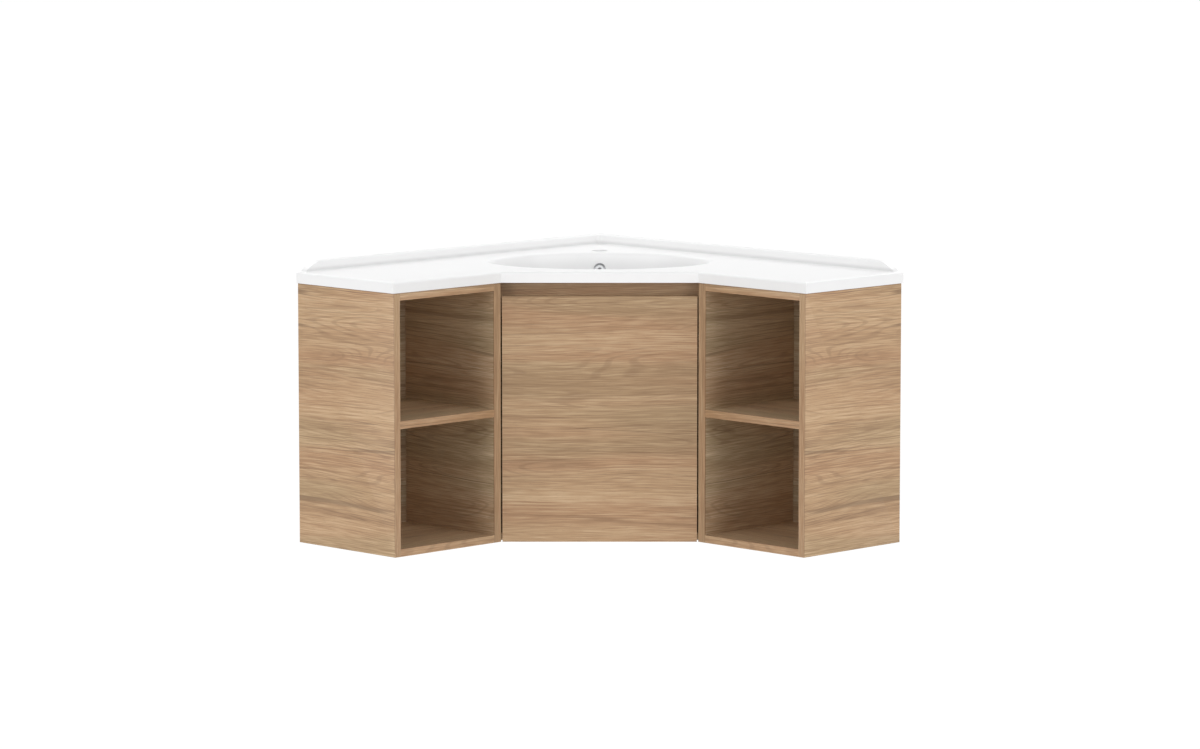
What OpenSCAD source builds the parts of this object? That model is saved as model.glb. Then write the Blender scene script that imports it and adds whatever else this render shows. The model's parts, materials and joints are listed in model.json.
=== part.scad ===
// Corner vanity unit: a moulded top with an oval bowl, on a diagonal centre cabinet with one door,
// between two open-shelf modules that stand out from the two walls of a room corner.
// The origin is on the line where the walls meet, level with the underside of the cabinets.
// The door faces -Y. Along each wall, s is the distance from the corner and d the distance off the wall.

/* [Cabinets] */
// Length of the cabinets along each wall, from the room corner
wall_run = 895; // [880:5:950]
// Length of one open module along its wall
module_w = 300; // [270:5:320]
// Depth of the modules from the wall to their front edges
module_depth = 297; // [285:1:310]
// Height of the cabinets
cabinet_h = 550; // [520:5:620]
// Thickness of the boards
board_t = 16; // [15:0.5:18]
// Thickness of the back panels
back_t = 8; // [6:0.5:10]
// Depth of the grooves that hold the back panels
groove_depth = 6; // [4:0.5:8]
// Height of the wall rails
rail_h = 100; // [80:5:120]
// Width of the filler strips between the centre cabinet and the modules
filler_w = 4; // [3:0.5:6]
// Depth of the filler strips
filler_depth = 40; // [30:5:60]
// Diameter of the holes for the wall screws
wall_hole_d = 8; // [5:0.5:10]

/* [Door] */
// Thickness of the door
door_t = 16; // [16:0.5:18]
// Gap beside the door
door_gap = 2.7; // [2.5:0.1:3.2]
// Height of the open finger gap above the door
grip_gap = 29; // [25:1:35]
// Room for the fingers between the back of the door and the finger rail
grip_depth = 16; // [14:0.5:18]
// Height of the finger rail
grip_rail_h = 80; // [60:5:90]
// Gap between the back of the door and the front edge of the cabinet's bottom
carcass_gap = 9; // [8.5:0.5:12]
// Diameter of the rubber door buffers
buffer_d = 8; // [6:0.5:12]

/* [Hinges] */
// Distance from the end of the door to the middle of a hinge
hinge_from_end = 90; // [75:5:120]
// Diameter of the hinge cup
cup_d = 35; // [34:0.5:36]
// Depth of the hinge cup in the door
cup_depth = 12; // [11.5:0.1:12.5]
// Board left between the cup and the edge of the door
cup_edge = 5.5; // [5:0.1:6]
// Width of the hooked hinge link
link_w = 12; // [10:0.5:14]
// Thickness of the hooked hinge link
link_t = 2.5; // [2:0.1:3]
// Diameter of the pin in the cup
cup_pin_d = 2.5; // [2:0.1:2.8]
// Diameter of the pin in the arm
arm_pin_d = 4; // [3:0.1:4.4]
// Running clearance of the hinge pins, on the radius
pin_play = 0.05; // [0.03:0.01:0.1]
// Thickness of the mounting plate
plate_t = 2.5; // [2:0.1:2.8]

/* [Top] */
// Thickness of the deck
deck_t = 23; // [18:0.5:30]
// Overhang of the deck past the ends of the modules
end_overhang = 5; // [2:0.5:10]
// Overhang of the deck past the door and the front edges of the modules
front_overhang = 3; // [1:0.5:8]
// Radius of the deck's upper edge
edge_r = 5; // [2:0.5:8]
// Height of the upstand above the deck
upstand_h = 22; // [16:1:40]
// Thickness of the upstand
upstand_t = 15; // [12:0.5:18]
// Radius of the upstand's upper edge
upstand_r = 6; // [2:0.5:8]
// Radius of the cove where the deck meets the upstand
cove_r = 5; // [2:0.5:8]
// Radius of the cove in the corner of the upstand
corner_r = 12; // [6:1:30]
// Distance from the end of the deck to the end of the upstand
upstand_from_end = 12; // [6:1:30]
// Radius of the upstand's falling end
upstand_end_r = 88; // [60:1:120]

/* [Bowl] */
// Length of the bowl's rim
bowl_l = 486; // [440:2:500]
// Front-to-back width of the bowl's rim
bowl_w = 356; // [330:2:360]
// Distance from the front of the deck to the bowl's rim
bowl_from_front = 55; // [52:1:65]
// Depth of the bowl at the waste
bowl_depth = 120; // [100:1:130]
// Thickness of the bowl's wall
bowl_wall = 9; // [7:0.5:11]
// Radius of the bowl's lip
lip_r = 8; // [4:0.5:10]
// Lean of the bowl's wall off the vertical, in degrees
wall_lean = 14; // [10:1:20]
// Radius between the bowl's wall and floor
heel_r = 60; // [40:1:70]
// Fall of the bowl's floor to the waste, in degrees
floor_fall = 2.5; // [1:0.5:4]

/* [Tap and overflow] */
// Diameter of the tap hole
tap_hole_d = 35; // [32:0.5:38]
// Distance from the bowl's rim back to the middle of the tap hole
tap_from_rim = 45; // [40:1:55]
// Diameter of the overflow hole
overflow_d = 22; // [18:0.5:24]
// Outer diameter of the overflow ring
ring_d = 26.3; // [25:0.1:30]
// Distance from the deck down to the middle of the overflow hole
overflow_drop = 35; // [30:1:42]
// Width of the overflow channel
channel_w = 30; // [26:1:36]
// Depth of the overflow channel
channel_gap = 10; // [8:0.5:12]
// Wall of the overflow channel
channel_wall = 5; // [4:0.5:6]

/* [Waste] */
// Diameter of the waste hole
waste_hole_d = 46; // [45:0.5:48]
// Diameter of the waste's thread
thread_d = 41.9; // [40:0.1:43]
// Outer diameter of the waste's tail
tail_d = 40; // [38:0.1:41]
// Inner diameter of the waste's tail
tail_bore_d = 36; // [32:0.5:36.5]
// Diameter of the waste's flange
flange_d = 64; // [60:1:68]
// Thickness of the waste's flange
flange_t = 3; // [2:0.5:4]
// Length of the tail below the back nut
tail_l = 38; // [25:1:60]
// Diameter of the back nut across its corners
nut_d = 64; // [58:1:70]
// Thickness of the back nut
nut_t = 10; // [8:0.5:14]
// Travel of the waste plug
plug_travel = 8; // [5:0.5:10]
// Diameter of the waste plug
plug_d = 62; // [50:1:66]
// Diameter of the plug's stem
stem_d = 8; // [6:0.5:9]

/* [Hidden] */

$fn = 64;
oak = [0.72, 0.59, 0.46];
oak_shade = [0.55, 0.44, 0.34];
white = [0.96, 0.96, 0.96];
chrome = [0.75, 0.76, 0.78];
steel = [0.6, 0.61, 0.63];
beech = [0.85, 0.74, 0.58];
grey_rubber = [0.3, 0.3, 0.3];
clear_rubber = [0.85, 0.86, 0.86];

over = 1;             // how far a cut runs past the face that it opens
root2 = sqrt(2);
groove_play = 0.2;    // all round a back panel's edge
snug = 0.05;          // on the radius of a pin, dowel or screw that is held

// Plan of the cabinets
module_in = wall_run - module_w;
cabinet_out = module_in - filler_w;
cabinet_in = cabinet_out - board_t;
back_face = board_t + back_t;
front_y = (cabinet_out + module_depth) / root2;
door_half = (cabinet_out - module_depth) / root2 - door_gap;
door_h = cabinet_h - grip_gap;
door_back_y = front_y - door_t;
carcass_y = door_back_y - carcass_gap;
grip_y = door_back_y - grip_depth;
shelf_z = (cabinet_h - board_t) / 2;

// Dowels, tie screws and wall holes
dowel_d = 8;
dowel_l = 30;
dowel_in_side = 10;
dowel_slack = 1;
dowel_from_edge = 40;
tie_d = 4;
tie_head_d = 9;
tie_head_h = 3;
tie_bite = 12;
tie_clear = 0.5;
tie_from_wall = [70, 190];
tie_z = [180, 370];
wall_hole_from_side = 55;
wall_hole_from_corner = 110;
wall_hole_from_top = 50;

// Hinge, set out from the door's back corner: u inwards from the door's edge, v back from its back face
cup_pin = [20, -8];
arm_pin = [-14, 28];
hook = [cup_pin, [20, -3], [29, 6], [29, 13], [25, 17.5], [8, 15], arm_pin];
cup_floor_t = 1;
cup_wall_t = 1;
cup_u = cup_edge + cup_d / 2;
cup_eye_wall = 1.3;
cup_eye_r = cup_pin_d / 2 + cup_eye_wall;
arm_eye_wall = 2;
arm_eye_r = arm_pin_d / 2 + arm_eye_wall;
cup_pin_end = 5;      // length of the cup's pin past each side of the link
cup_pin_l = link_w + 2 * cup_pin_end;
link_side_play = 0.5;
hinge_zs = [hinge_from_end, door_h - hinge_from_end];
wing_t = 1.2;
wing_half_l = 31;
wing_back = 2;
wing_front = 13;
wing_u = [cup_u - wing_back, cup_u + wing_front];
cup_screw_z = 24;
cup_screw_from_cup = 6;
cup_screw_u = cup_u + cup_screw_from_cup;
cup_screw_d = 3.5;
cup_screw_l = 11;
cheek_t = 2;
arm_l = 36;
web_t = 2;
web_from_pin = 9;
arm_screw_from_pin = 22;
arm_screw_d = 5;
plate_from_pin = 10;
plate_l = 34;
plate_half_w = 24;
plate_screw_z = 16;
plate_screw_from_pin = 34;
plate_screw_d = 5;
plate_screw_l = 13;
screw_head_h = 2;
screw_head_rim = 1.5; // how far a screw's head stands out past its shank

// Top and bowl
top_run = wall_run + end_overhang;
top_depth = module_depth + front_overhang;
top_front_y = front_y + front_overhang;
top_z = cabinet_h + deck_t;
upstand_run = top_run - upstand_from_end;
strip_w = upstand_t + cove_r;
bowl_a = bowl_l / 2;
squash = bowl_w / bowl_l;
bowl_y = top_front_y - bowl_from_front - bowl_w / 2;
tap_y = bowl_y - bowl_w / 2 - tap_from_rim;
shell_skin = 1;       // keeps the channel clear of the bowl's own wall
duct_in = bowl_wall / 3;
channel_in = bowl_wall + shell_skin;
channel_out = channel_in + channel_gap;
duct_out = channel_out + channel_wall;
duct_turn = (90 - wall_lean - floor_fall) / 4;
duct_from = 20;       // the duct starts inside the waste's hub
rim_r = bowl_a + duct_out;
channel_head = 16;    // height of the channel above the middle of the overflow hole
spot_depth = 0.6;     // flat seat for the overflow ring in the curved wall
spot_play = 0.3;
ring_t = 2;
ring_tube_l = 6;
ring_wall = 1.5;

// Waste
seal_t = 1.5;
seat_play = 1;
thread_past_nut = 4;
hub_r = 40;
hub_below = 3;        // how far the hub stands below the channel
washer_t = 3;
guide_depth = 22;     // from the flange's top to the guide bar
guide_h = 8;
guide_w = 6;
cartridge_r = 8;
cartridge_l = 26;
cartridge_wall_play = 0.02;
window_h = 8;
window_w = 14;
plug_seal_t = 1.5;
plug_lift = 0.5;      // the plug's seal stays this far off the flange
plug_t = 3;
plug_edge = 1;        // how far the plug's edge leans in
plug_bevel = 6;       // how far its top slopes in past that edge
plug_seal_in = 4;     // how far the plug's seal stays inside its edge
seal_in = 1;          // how far the flange's seal stays inside the flange
washer_in = 2;        // how far the washer stays inside the nut's corners
guide_play = 0.5;     // between the guide bar's ends and the thread's outside
guide_boss_wall = 2;
stem_hold = 5;        // length of the stem that stays in the cartridge when the plug is up
stem_l = guide_depth + stem_hold + plug_travel;
hub_bottom = bowl_depth + duct_out + hub_below;
waste_z = top_z - bowl_depth;
hub_bottom_z = top_z - hub_bottom;
nut_bottom_z = hub_bottom_z - washer_t - nut_t;
tail_end_z = nut_bottom_z - tail_l;
thread_end_z = nut_bottom_z - thread_past_nut;

// Bowl section: the lip, wall, heel and floor meet at tangents
lip_foot = [bowl_a - lip_r * cos(wall_lean), -lip_r + lip_r * sin(wall_lean)];
wall_dir = [-sin(wall_lean), -cos(wall_lean)];
wall_out = [cos(wall_lean), -sin(wall_lean)];
floor_dir = [cos(floor_fall), sin(floor_fall)];
floor_out = [sin(floor_fall), -cos(floor_fall)];
heel_from_wall = lip_foot - heel_r * wall_out;
heel_from_floor = [0, -bowl_depth] - heel_r * floor_out;
heel_c = heel_from_wall
    + wall_dir * cross(heel_from_floor - heel_from_wall, floor_dir) / cross(wall_dir, floor_dir);

// Plan point for distances s along the right-hand wall and d off it, and the way back
function plan(s, d) = [(s - d) / root2, -(s + d) / root2];
function along(p) = (p[0] - p[1]) / root2;
function off(p) = -(p[0] + p[1]) / root2;
// Plan point for a hinge position u, v
function hinge_at(p) = [door_half - p[0], p[1] - door_back_y];
// Half width of the centre cabinet inside, at the distance y in front of the corner
function inside_x(y) = cabinet_in * root2 - y;
// Radius of the bowl's straight wall at the height z
function wall_r(z) = lip_foot[0] - (lip_foot[1] - z) * tan(wall_lean);

// Turns a piece that is drawn with X along the wall and -Y off it, for the right or the left wall
module on_wall(side) mirror([side < 0 ? 1 : 0, 0, 0]) rotate([0, 0, -45]) children();

module board(s, d, z) translate([s[0], -d[1], z[0]]) cube([s[1] - s[0], d[1] - d[0], z[1] - z[0]]);

// A rod along the wall, through the joint plane, long_side of it on the side dir
module rod(joint, dir, d, z, r, short_side, long_side) {
    from = joint + (dir > 0 ? -short_side : -long_side);
    translate([from, -d, z]) rotate([0, 90, 0]) cylinder(r = r, h = short_side + long_side);
}

module dowel(joint, dir, d, z) {
    rod(joint, dir, d, z, dowel_d / 2, dowel_in_side, dowel_l - dowel_in_side);
}

module dowel_hole(joint, dir, d, z) {
    rod(joint, dir, d, z, dowel_d / 2 + snug, dowel_in_side + dowel_slack,
        dowel_l - dowel_in_side + dowel_slack);
}

// ---------------------------------------------------------------- open modules

module_joints = [[module_in + board_t, 1], [wall_run - board_t, -1]];
module_board_z = [board_t / 2, shelf_z + board_t / 2, cabinet_h - board_t / 2];
module_rail_z = [rail_h / 2, cabinet_h - rail_h / 2];

module at_module_dowels() {
    for (joint = module_joints) {
        for (z = module_board_z, d = [back_face + dowel_from_edge, module_depth - dowel_from_edge])
            children_at(joint, d, z) children();
        for (z = module_rail_z) children_at(joint, board_t / 2, z) children();
    }
}

// Passes a dowel's place on to dowel() or dowel_hole() through special variables
module children_at(joint, d, z) {
    $joint = joint[0];
    $dir = joint[1];
    $d = d;
    $z = z;
    children();
}

module module_dowel_holes() at_module_dowels() dowel_hole($joint, $dir, $d, $z);

module back_groove() {
    board([module_in + board_t - groove_depth - groove_play, wall_run - board_t + groove_depth + groove_play],
        [board_t - groove_play, back_face + groove_play], [-over, cabinet_h + over]);
}

module upright(s) color(oak) difference() {
    board(s, [0, module_depth], [0, cabinet_h]);
    back_groove();
    module_dowel_holes();
}

module end_panel(side) on_wall(side) upright([wall_run - board_t, wall_run]);

module inner_side(side) color(oak) on_wall(side) difference() {
    upright([module_in, module_in + board_t]);
    at_tie_screws() rod(module_in, 1, $d, $z, tie_d / 2 + snug, over, tie_bite + dowel_slack);
}

module module_board(side, z) color(oak) on_wall(side) difference() {
    board([module_in + board_t, wall_run - board_t], [back_face + groove_play, module_depth], [z, z + board_t]);
    module_dowel_holes();
}

module wall_hole(s, z) {
    translate([s, over, z]) rotate([90, 0, 0]) cylinder(d = wall_hole_d, h = back_face + 2 * over);
}

module module_wall_holes() {
    for (s = [module_in + wall_hole_from_side, wall_run - wall_hole_from_side])
        wall_hole(s, cabinet_h - wall_hole_from_top);
}

module back_panel(side) color(oak_shade) on_wall(side) difference() {
    board([module_in + board_t - groove_depth, wall_run - board_t + groove_depth],
        [board_t, back_face], [0, cabinet_h]);
    module_wall_holes();
}

module wall_rails(side) color(oak_shade) on_wall(side) difference() {
    for (z = [0, cabinet_h - rail_h])
        board([module_in + board_t, wall_run - board_t], [0, board_t - groove_play], [z, z + rail_h]);
    module_wall_holes();
    module_dowel_holes();
}

module module_dowels(side) color(beech) on_wall(side) at_module_dowels() dowel($joint, $dir, $d, $z);

module filler_strips(side) color(oak) on_wall(side)
    for (d = [0, module_depth - filler_depth])
        board([cabinet_out, module_in], [d, d + filler_depth], [0, cabinet_h]);

module at_tie_screws() {
    for (d = tie_from_wall, z = tie_z) children_at([cabinet_in, 1], d, z) children();
}

module tie_screws(side) color(steel) on_wall(side) at_tie_screws() {
    rod(module_in, 1, $d, $z, tie_d / 2, module_in - cabinet_in, tie_bite);
    translate([cabinet_in, -$d, $z]) rotate([0, 90, 0])
        cylinder(d1 = tie_head_d, d2 = tie_d, h = tie_head_h);
}

// ---------------------------------------------------------------- centre cabinet

cabinet_rail_z = [board_t + rail_h / 2, cabinet_h - rail_h / 2];
rail_dowel_step = rail_h / 4;
bottom_dowel_d = [60, 220];

module at_side_dowels() {
    for (d = bottom_dowel_d) children_at([cabinet_in, -1], d, board_t / 2) children();
    for (z = cabinet_rail_z, step = [-1, 1])
        children_at([cabinet_in, -1], board_t / 2, z + step * rail_dowel_step) children();
}

module at_corner_dowels() {
    for (z = cabinet_rail_z, step = [-1, 1])
        children_at([board_t, 1], board_t / 2, z + step * rail_dowel_step) children();
}

module side_dowel_holes() at_side_dowels() dowel_hole($joint, $dir, $d, $z);
module corner_dowel_holes() at_corner_dowels() dowel_hole($joint, $dir, $d, $z);

module cabinet_side_board() {
    reach = carcass_y * root2;
    linear_extrude(cabinet_h)
        polygon([[cabinet_in, 0], [cabinet_out, 0], [cabinet_out, cabinet_out - reach], [cabinet_in, cabinet_in - reach]]);
}

module cabinet_side(side) color(oak) on_wall(side) difference() {
    cabinet_side_board();
    side_dowel_holes();
    at_tie_screws() {
        rod(cabinet_in, 1, $d, $z, tie_d / 2 + tie_clear, over, board_t + over);
        translate([cabinet_in, -$d, $z]) rotate([0, 90, 0])
            cylinder(d1 = tie_head_d, d2 = tie_d, h = tie_head_h);
    }
}

module cabinet_right_side() difference() {
    cabinet_side(1);
    at_hinges() plate_screws(snug, over);
}

module cabinet_bottom() color(oak) difference() {
    linear_extrude(board_t) polygon([
        [0, 0], plan(cabinet_in, 0), [inside_x(carcass_y), -carcass_y],
        [-inside_x(carcass_y), -carcass_y], [-plan(cabinet_in, 0)[0], plan(cabinet_in, 0)[1]]
    ]);
    for (side = [-1, 1]) on_wall(side) side_dowel_holes();
}

module cabinet_wall_holes() {
    for (s = [wall_hole_from_corner, cabinet_in - wall_hole_from_corner])
        wall_hole(s, cabinet_h - wall_hole_from_top);
}

// The left rail runs into the corner and the right rail butts against it
module cabinet_rail(side, z) color(oak_shade) difference() {
    on_wall(side) difference() {
        board([side < 0 ? 0 : board_t, cabinet_in], [0, board_t], [z, z + rail_h]);
        side_dowel_holes();
        cabinet_wall_holes();
    }
    on_wall(1) corner_dowel_holes();
}

// The left back panel runs on into the corner and the right one butts against it
module cabinet_back(side) color(oak_shade) on_wall(side) difference() {
    board([side < 0 ? board_t : back_face, cabinet_in], [board_t, back_face], [board_t, cabinet_h]);
    cabinet_wall_holes();
}

module finger_rail() color(oak_shade) translate([0, 0, cabinet_h - grip_rail_h])
    linear_extrude(grip_rail_h) polygon([
        [-inside_x(grip_y), -grip_y], [inside_x(grip_y), -grip_y],
        [inside_x(grip_y - board_t), board_t - grip_y], [-inside_x(grip_y - board_t), board_t - grip_y]
    ]);

module cabinet_dowels() color(beech) {
    for (side = [-1, 1]) on_wall(side) at_side_dowels() dowel($joint, $dir, $d, $z);
    on_wall(1) at_corner_dowels() dowel($joint, $dir, $d, $z);
}

// ---------------------------------------------------------------- door

module door() color(oak) difference() {
    translate([-door_half, -front_y, 0]) cube([2 * door_half, door_t, door_h]);
    at_hinges() {
        door_hole(cup_u, 0, cup_d / 2, cup_depth);
        for (z = [-cup_screw_z, cup_screw_z]) door_hole(cup_screw_u, z, cup_screw_d / 2 + snug, cup_screw_l);
    }
}

// A hole, or what fills it, from the back of the door
module door_hole(u, z, r, depth) {
    translate([door_half - u, -door_back_y + over, z]) rotate([90, 0, 0]) cylinder(r = r, h = depth + over);
}

buffer_from_free_edge = 18;
buffer_from_hinge_edge = 110;
buffer_play = 0.2;

module door_buffers() color(clear_rubber)
    for (x = [-door_half + buffer_from_free_edge, door_half - buffer_from_hinge_edge])
        translate([x, -carcass_y, board_t / 2]) rotate([90, 0, 0])
            cylinder(d = buffer_d, h = carcass_gap - buffer_play);

// ---------------------------------------------------------------- hinges

module at_hinges() for (z = hinge_zs) translate([0, 0, z]) children();

module pin_at(p, r, h) translate([hinge_at(p)[0], hinge_at(p)[1], -h / 2]) cylinder(r = r, h = h);

module hinge_cup() color(steel) difference() {
    union() {
        translate([door_half - cup_u, -door_back_y, 0]) rotate([90, 0, 0])
            cylinder(r = cup_d / 2 - snug, h = cup_depth);
        translate([door_half - wing_u[1], -door_back_y, -wing_half_l])
            cube([wing_u[1] - wing_u[0], wing_t, 2 * wing_half_l]);
    }
    translate([door_half - cup_u - cup_d / 2 + cup_wall_t, -door_back_y - cup_depth + cup_floor_t,
        -link_w / 2 - link_side_play])
        cube([cup_d - 2 * cup_wall_t, cup_depth - cup_floor_t + wing_t + over, link_w + 2 * link_side_play]);
    for (z = [-cup_screw_z, cup_screw_z])
        translate([door_half - cup_screw_u, -door_back_y - over, z]) rotate([-90, 0, 0])
            cylinder(r = cup_screw_d / 2 + snug, h = wing_t + 2 * over);
    pin_at(cup_pin, cup_pin_d / 2 + snug, cup_pin_l + 2 * dowel_slack);
}

arm_pin_l = link_w + 2 * (link_side_play + cheek_t) + 2 * over;

// Sideways unit vector of one length of a line of points, and the mitred one at a bend
function side_of(p, i) = let(v = p[i + 1] - p[i]) [-v[1], v[0]] / norm(v);
function bend_side(p, i) =
    i == 0 ? side_of(p, 0) :
    i == len(p) - 1 ? side_of(p, i - 1) :
    (side_of(p, i - 1) + side_of(p, i)) / (1 + side_of(p, i - 1) * side_of(p, i));

// A strip of the width w, bent along a line of points
module bent_strip(p, w) polygon(concat(
    [for (i = [0 : len(p) - 1]) p[i] + w / 2 * bend_side(p, i)],
    [for (i = [len(p) - 1 : -1 : 0]) p[i] - w / 2 * bend_side(p, i)]
));

module hinge_link() color(steel) difference() {
    union() {
        linear_extrude(link_w, center = true) bent_strip([for (p = hook) hinge_at(p)], link_t);
        pin_at(cup_pin, cup_eye_r, link_w);
        pin_at(arm_pin, arm_eye_r, link_w);
    }
    pin_at(cup_pin, cup_pin_d / 2 + pin_play, link_w + 2 * over);
    pin_at(arm_pin, arm_pin_d / 2 + pin_play, link_w + 2 * over);
}

arm_s = along(hinge_at(arm_pin));
arm_d = off(hinge_at(arm_pin));
cheek_z = link_w / 2 + link_side_play;
plate_face = cabinet_in - plate_t;

// The arm is drawn along the wall: its pin at arm_s, arm_d, its foot on the mounting plate
module hinge_arm() color(steel) on_wall(1) difference() {
    translate([0, -arm_d, 0]) union() {
        for (z = [-cheek_z - cheek_t, cheek_z]) translate([0, 0, z]) linear_extrude(cheek_t) union() {
            translate([arm_s, 0]) circle(arm_eye_r);
            polygon([
                [arm_s - arm_eye_r, 0], [arm_s - arm_eye_r, arm_l], [plate_face, arm_l],
                [plate_face, plate_from_pin], [arm_s + arm_eye_r, 0]
            ]);
        }
        translate([arm_s - arm_eye_r, web_from_pin, -cheek_z - cheek_t])
            cube([web_t, arm_l - web_from_pin, 2 * (cheek_z + cheek_t)]);
    }
    translate([arm_s, -arm_d, 0]) cylinder(r = arm_pin_d / 2 + snug, h = 4 * cheek_z, center = true);
    arm_screw_shank(snug);
}

module arm_screw_shank(play) {
    translate([arm_s - arm_eye_r - over, arm_screw_from_pin - arm_d, 0]) rotate([0, 90, 0])
        cylinder(r = arm_screw_d / 2 + play, h = cabinet_in - arm_s + arm_eye_r + over);
}

module hinge_arm_screw() color(steel) on_wall(1) {
    arm_screw_shank(0);
    translate([arm_s - arm_eye_r - screw_head_h, arm_screw_from_pin - arm_d, 0]) rotate([0, 90, 0])
        cylinder(r = arm_screw_d / 2 + screw_head_rim, h = screw_head_h);
}

module plate_screws(play, extra) on_wall(1)
    for (z = [-plate_screw_z, plate_screw_z])
        translate([plate_face - extra, plate_screw_from_pin - arm_d, z]) rotate([0, 90, 0])
            cylinder(r = plate_screw_d / 2 + play, h = plate_t + plate_screw_l + extra);

module hinge_plate() color(steel) difference() {
    on_wall(1) translate([plate_face, plate_from_pin - arm_d, -plate_half_w])
        cube([plate_t, plate_l, 2 * plate_half_w]);
    plate_screws(snug, over);
    on_wall(1) arm_screw_shank(snug);
}

module hinge_plate_screw_pair() color(steel) {
    plate_screws(0, screw_head_h / 2);
    on_wall(1) for (z = [-plate_screw_z, plate_screw_z])
        translate([plate_face - screw_head_h, plate_screw_from_pin - arm_d, z]) rotate([0, 90, 0])
            cylinder(r = plate_screw_d / 2 + screw_head_rim, h = screw_head_h);
}

module hinge_cup_screw_pair() color(steel)
    for (z = [-cup_screw_z, cup_screw_z]) {
        translate([door_half - cup_screw_u, -door_back_y + wing_t + screw_head_h, z]) rotate([90, 0, 0]) {
            cylinder(d = cup_screw_d, h = screw_head_h + wing_t + cup_screw_l - dowel_slack);
            cylinder(r = cup_screw_d / 2 + screw_head_rim, h = screw_head_h);
        }
    }

// ---------------------------------------------------------------- top

// A square corner less its round: what is cut from a convex edge
module edge_cut(r) difference() {
    square(r + over);
    circle(r);
}

// Deck section, drawn with -X off the wall and +Y up
module deck_section(depth) difference() {
    translate([-depth, 0]) square([depth, deck_t]);
    translate([edge_r - depth, deck_t - edge_r]) mirror([1, 0]) edge_cut(edge_r);
}

module upstand_section() translate([0, deck_t - over]) {
    difference() {
        translate([-upstand_t, 0]) square([upstand_t, upstand_h + over]);
        translate([upstand_r - upstand_t, upstand_h + over - upstand_r]) mirror([1, 0]) edge_cut(upstand_r);
    }
    difference() {
        translate([-upstand_t - cove_r, 0]) square([cove_r + over, cove_r + over]);
        translate([-upstand_t - cove_r, over + cove_r]) circle(cove_r);
    }
}

// Runs a section along the wall
module run_along(length) rotate([90, 0, 90]) linear_extrude(length) children();

module falling_end() {
    start = upstand_run - sqrt(pow(upstand_end_r, 2) - pow(upstand_end_r - upstand_h, 2));
    difference() {
        board([start, top_run + over], [-over, upstand_t + cove_r + over], [deck_t, deck_t + upstand_h + over]);
        translate([start, over, deck_t + upstand_h - upstand_end_r]) rotate([90, 0, 0])
            cylinder(r = upstand_end_r, h = upstand_t + cove_r + 4 * over);
    }
}

// A length of deck with the given section, its far end rounded
module round_ended() difference() {
    run_along(top_run) children();
    translate([top_run - edge_r, over, deck_t - edge_r]) rotate([90, 0, 0])
        linear_extrude(top_depth + 2 * over) edge_cut(edge_r);
}

module on_walls() for (side = [-1, 1]) on_wall(side) children();

module centre_deck() intersection() {
    translate([-top_front_y, 0, 0]) run_along(2 * top_front_y) deck_section(top_front_y);
    linear_extrude(deck_t)
        polygon([[0, 0], [top_front_y, -top_front_y - over], [-top_front_y, -top_front_y - over]]);
}

module corner_cove() {
    in = upstand_t + corner_r;
    on_wall(1) difference() {
        board([0, in], [0, in], [deck_t - over, deck_t + upstand_h - upstand_r]);
        translate([in, -in, 0]) cylinder(r = corner_r, h = deck_t + upstand_h);
    }
}

// Half section of the bowl's outside, up to the middle of the deck
module shell_section() {
    grown = heel_r + bowl_wall;
    top = deck_t / 2;
    polygon([
        [0, -bowl_depth - bowl_wall / cos(floor_fall)], heel_c + grown * floor_out, heel_c,
        heel_c + grown * wall_out, [wall_r(-top) + bowl_wall / cos(wall_lean), -top], [0, -top]
    ]);
    intersection() {
        translate(heel_c) circle(grown);
        translate([0, -bowl_l - top]) square([bowl_l, bowl_l]);
    }
}

// Half section of the bowl's hollow, with the round lip left standing
module hollow_section() difference() {
    union() {
        polygon([
            [0, -bowl_depth], heel_c + heel_r * floor_out, heel_c, heel_c + heel_r * wall_out,
            lip_foot, [bowl_a, -lip_r], [bowl_a, over], [0, over]
        ]);
        translate(heel_c) circle(heel_r);
    }
    translate([bowl_a, -lip_r]) circle(lip_r);
}

// Turns a half section about the waste and squashes it to an oval, a quarter at a time
module oval() for (turn = [0 : 90 : 270])
    translate([0, -bowl_y, deck_t]) scale([1, squash, 1]) rotate([0, 0, turn])
        rotate_extrude(angle = 90, $fn = 96) children();

// Corner of the duct, where two of its straight lengths meet outside the heel grown by grow
function duct_corner(grow, turn) = heel_c + (heel_r + grow) / cos(duct_turn) * [cos(turn), -sin(turn)];

// Line of the duct from the waste to the height -head, grown off the bowl's inside by grow
function duct_line(grow, head) = [
    [duct_from, duct_from * tan(floor_fall) - bowl_depth - grow / cos(floor_fall)],
    duct_corner(grow, wall_lean + 3 * duct_turn), duct_corner(grow, wall_lean + duct_turn),
    [wall_r(-head) + grow / cos(wall_lean), -head]
];

module duct_section(inner, outer, head) {
    near = duct_line(inner, head);
    far = duct_line(outer, head);
    polygon([near[0], near[1], near[2], near[3], far[3], far[2], far[1], far[0]]);
}

// A slice across the bowl's back half, in the plane of the tap
module back_slice(width) translate([0, -bowl_y, deck_t]) rotate([90, 0, 90])
    linear_extrude(width, center = true) scale([squash, 1]) children();

overflow_top = overflow_drop - channel_head;
overflow_lean = atan(tan(wall_lean) * squash);

// Puts a piece on the bowl's back wall, with +Z into the bowl
module at_overflow() {
    translate([0, wall_r(-overflow_drop) * squash - bowl_y, deck_t - overflow_drop])
        rotate([90 - overflow_lean, 0, 0]) children();
}

module at_waste(z) translate([0, -bowl_y, z]) children();

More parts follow.
